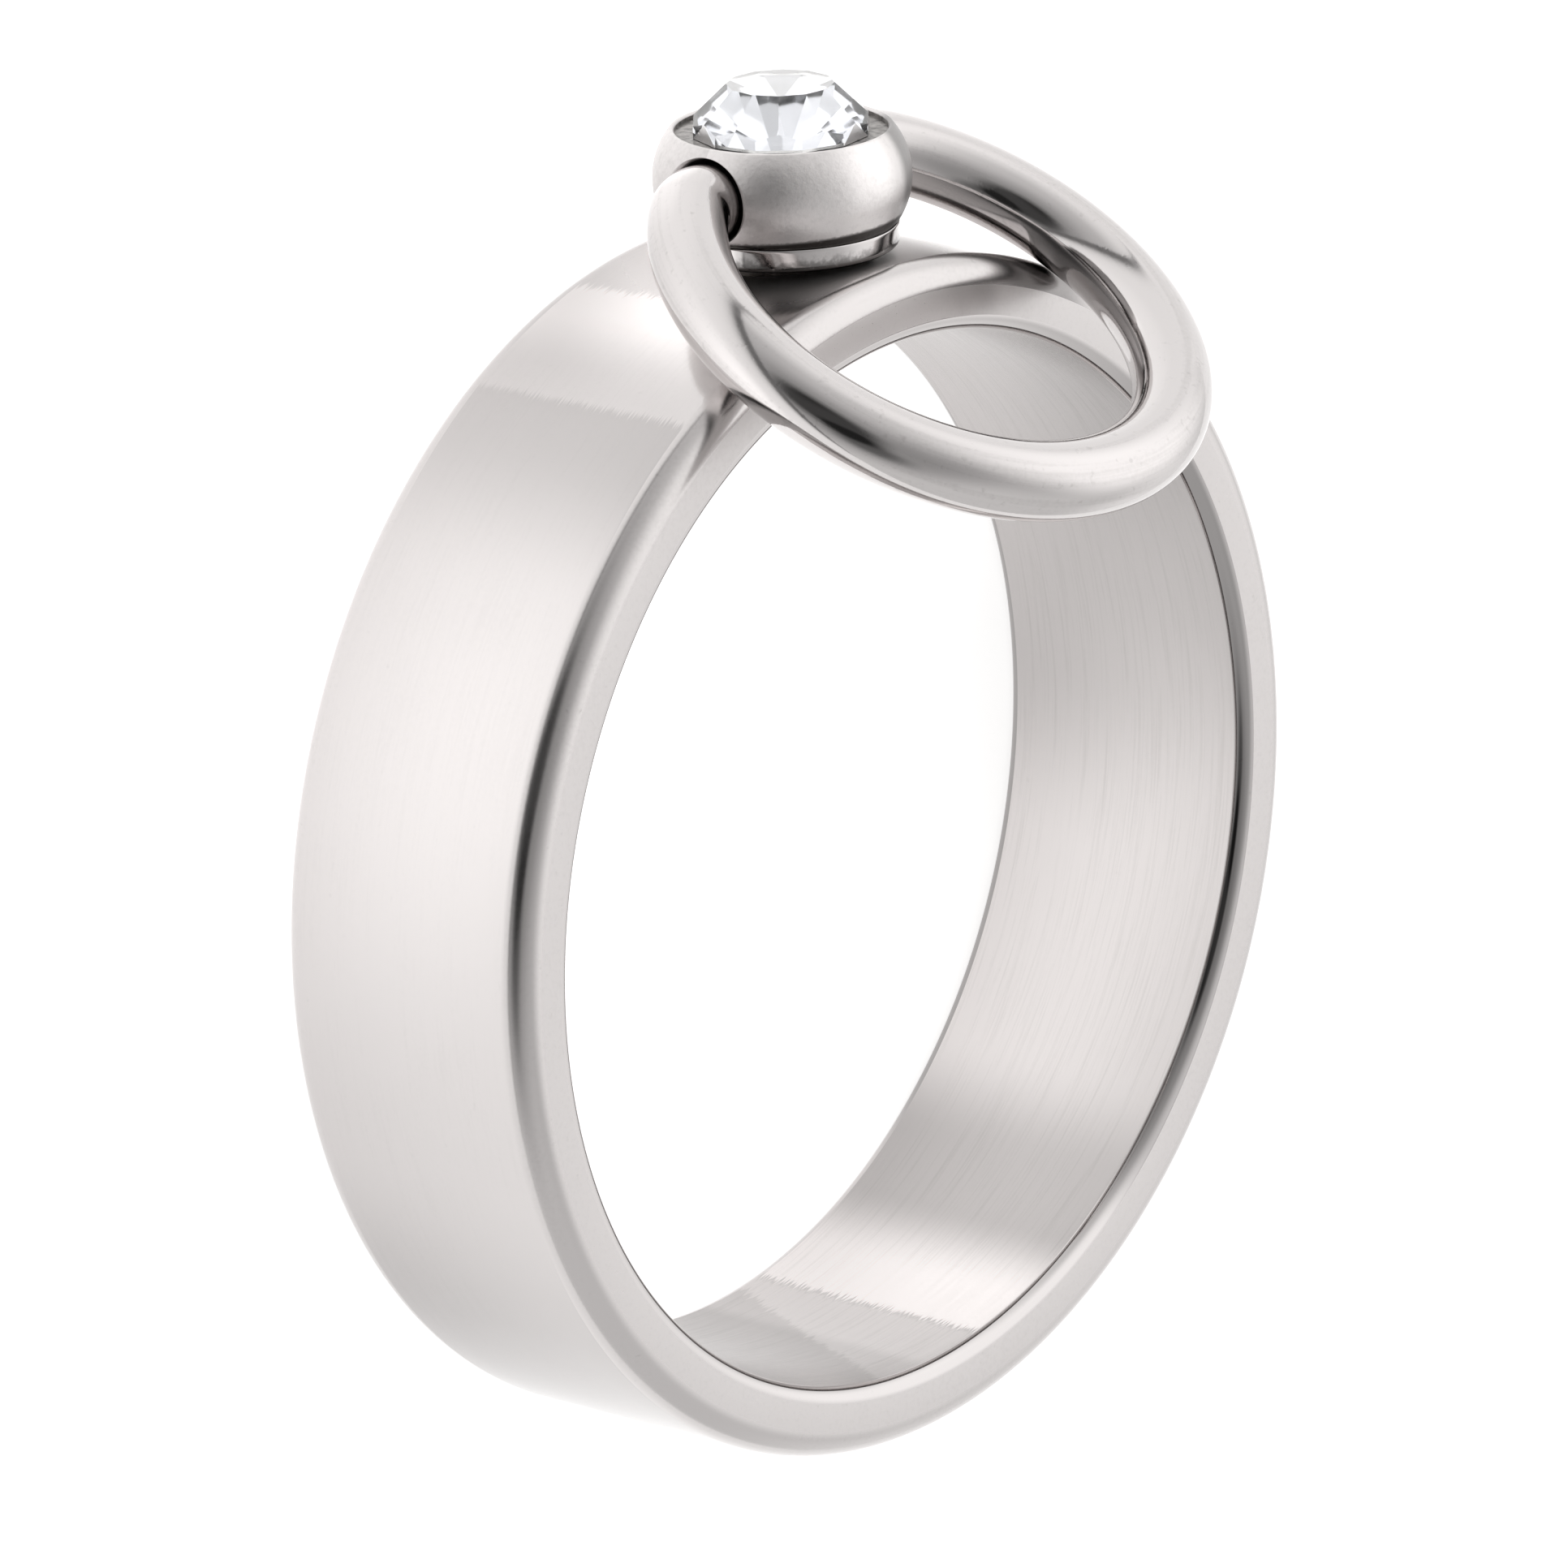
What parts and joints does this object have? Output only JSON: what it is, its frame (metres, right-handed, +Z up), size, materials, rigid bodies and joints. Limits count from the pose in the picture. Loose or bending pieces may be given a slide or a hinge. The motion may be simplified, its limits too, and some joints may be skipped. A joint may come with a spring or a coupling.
{
  "type": "crystal ring with a hinged wire loop",
  "caption": "Plain finger ring with a round crystal in a bezel cup and a loose wire loop that swings in the cup's side holes.",
  "frame": {"origin": "centre of the finger hole, halfway along the band's width", "axes": "Z along the finger hole, with +Z up as the ring lies on its side; +Y from the origin out through the cup and the crystal; X along the loop's hinge line"},
  "size_m": [0.0198, 0.0225, 0.0098],
  "materials": {
    "steel": "polished outside, satin on the side faces and finely brushed inside",
    "loop_steel": "mirror polished wire",
    "crystal": "clear cut glass with a silvered back"
  },
  "bodies": {
    "ring": {"band_and_setting": "steel", "crystal": "crystal"},
    "loop": {"loop": "loop_steel"}
  },
  "joints": [
    {"name": "loop_swing", "type": "hinge", "parent": "ring", "child": "loop", "pos_m": [0, 0.01106, 0], "axis": [-1, 0, 0], "range_deg": [0, 239]}
  ]
}
